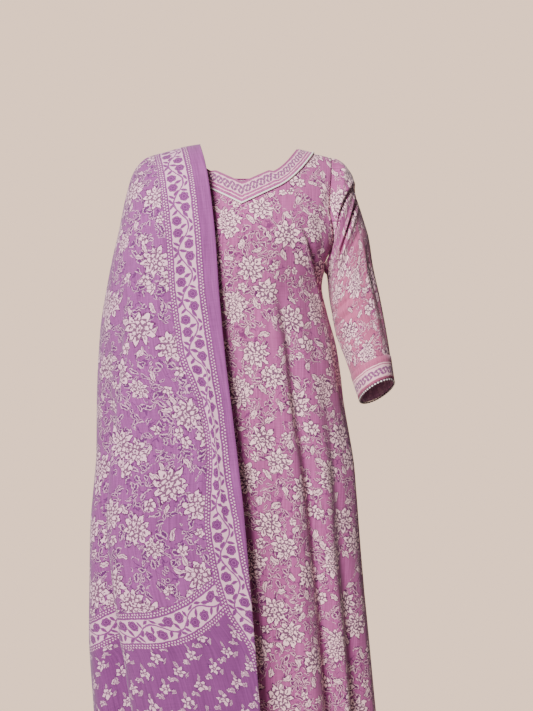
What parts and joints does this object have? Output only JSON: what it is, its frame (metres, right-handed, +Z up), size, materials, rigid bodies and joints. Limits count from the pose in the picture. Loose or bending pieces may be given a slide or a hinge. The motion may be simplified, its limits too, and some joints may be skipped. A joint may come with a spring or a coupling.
{
  "type": "kurti set",
  "caption": "Calf-length A-line cotton kurti with a V neck and three-quarter sleeves, its long dupatta draped over the right shoulder, in hollow worn form.",
  "frame": {"origin": "midway between the high points of the two shoulders, on the neckline's ends, where the wearer holds the set up", "axes": "+Z up along the wearer's body, +X towards the wearer's left, -Y towards the front"},
  "size_m": [0.5609, 0.3803, 1.217],
  "materials": {
    "printed_cotton": "plain-woven cotton, lavender printed with off-white flowers",
    "printed_cotton_sleeve": "the same printed cotton, on the sleeves",
    "printed_banding": "off-white cotton band printed with flowers between lavender lines",
    "white_cord": "white cord edging",
    "piping": "lavender cotton piping",
    "dupatta_cotton": "light plain-woven cotton, lavender printed with off-white flowers and borders"
  },
  "bodies": {
    "root": {"kurti_front": "printed_cotton", "kurti_back": "printed_cotton", "neck_band_front": "printed_banding", "neck_band_back": "printed_banding", "neck_piping": "piping", "neck_cord": "white_cord", "sleeve_left": "printed_cotton_sleeve", "sleeve_right": "printed_cotton_sleeve", "cuff_band_left": "printed_banding", "cuff_band_right": "printed_banding", "cuff_edge_left": "white_cord", "cuff_edge_right": "white_cord", "dupatta": "dupatta_cotton"}
  },
  "joints": []
}
